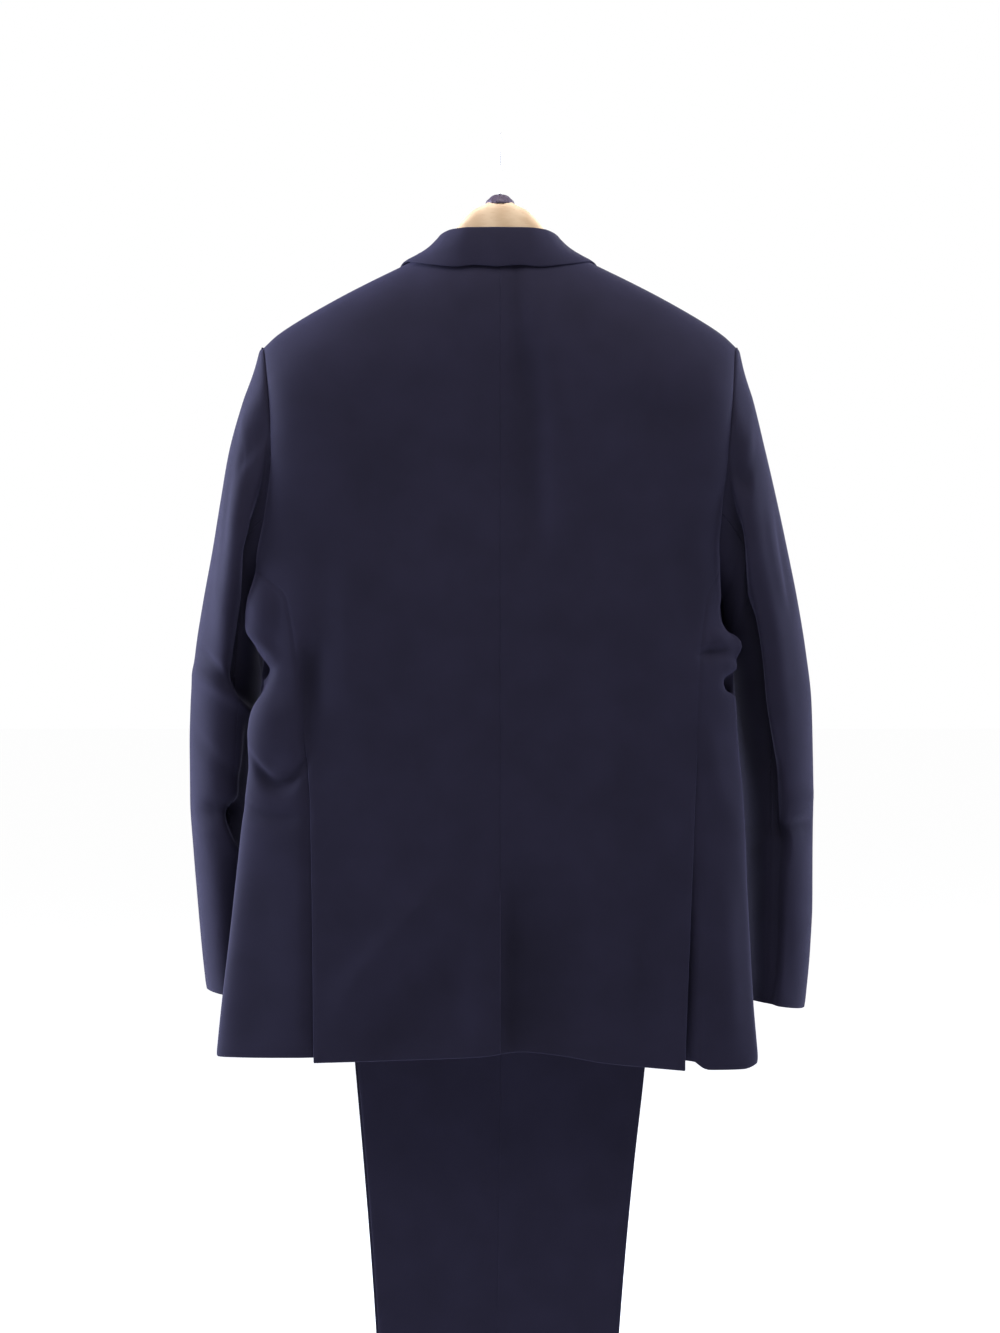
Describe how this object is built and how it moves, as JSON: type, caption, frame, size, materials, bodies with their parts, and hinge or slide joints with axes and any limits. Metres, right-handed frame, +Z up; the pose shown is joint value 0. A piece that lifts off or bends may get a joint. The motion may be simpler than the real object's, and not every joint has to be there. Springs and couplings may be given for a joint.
{
  "type": "two-piece suit on a wooden clothes hanger",
  "caption": "Men's suit of dark smooth wool: a vented single-breasted jacket over folded trousers, hung on a shaped wooden hanger with a wire hook.",
  "frame": {"origin": "the point inside the top of the hook where a rail bears", "axes": "+Z up, +Y the way the suit faces, +X to the wearer's right"},
  "size_m": [0.6004, 0.1897, 1.2288],
  "materials": {
    "suit_cloth": "fine plain wool cloth, soft sheen",
    "button_horn": "dark horn-like, satin",
    "hanger_wood": "pale wood, satin lacquer",
    "collar_black": "dark, satin",
    "bright_steel": "bright plated wire"
  },
  "bodies": {
    "root": {"back_left": "suit_cloth", "back_right": "suit_cloth", "side_left": "suit_cloth", "side_right": "suit_cloth", "front_left": "suit_cloth", "front_right": "suit_cloth", "lapel_left": "suit_cloth", "lapel_right": "suit_cloth", "collar": "suit_cloth", "sleeve_top_left": "suit_cloth", "sleeve_top_right": "suit_cloth", "sleeve_under_left": "suit_cloth", "sleeve_under_right": "suit_cloth", "pocket_flap_left": "suit_cloth", "pocket_flap_right": "suit_cloth", "breast_welt": "suit_cloth", "trouser_front_left": "suit_cloth", "trouser_front_right": "suit_cloth", "trouser_back_left": "suit_cloth", "trouser_back_right": "suit_cloth", "waistband_left": "suit_cloth", "waistband_right": "suit_cloth", "front_button_1": "button_horn", "front_button_2": "button_horn", "hanger_arms": "hanger_wood", "hook_ferrule": "collar_black", "hook": "bright_steel", "trouser_bar": "bright_steel", "clip_left": "bright_steel", "clip_right": "bright_steel"}
  },
  "joints": []
}
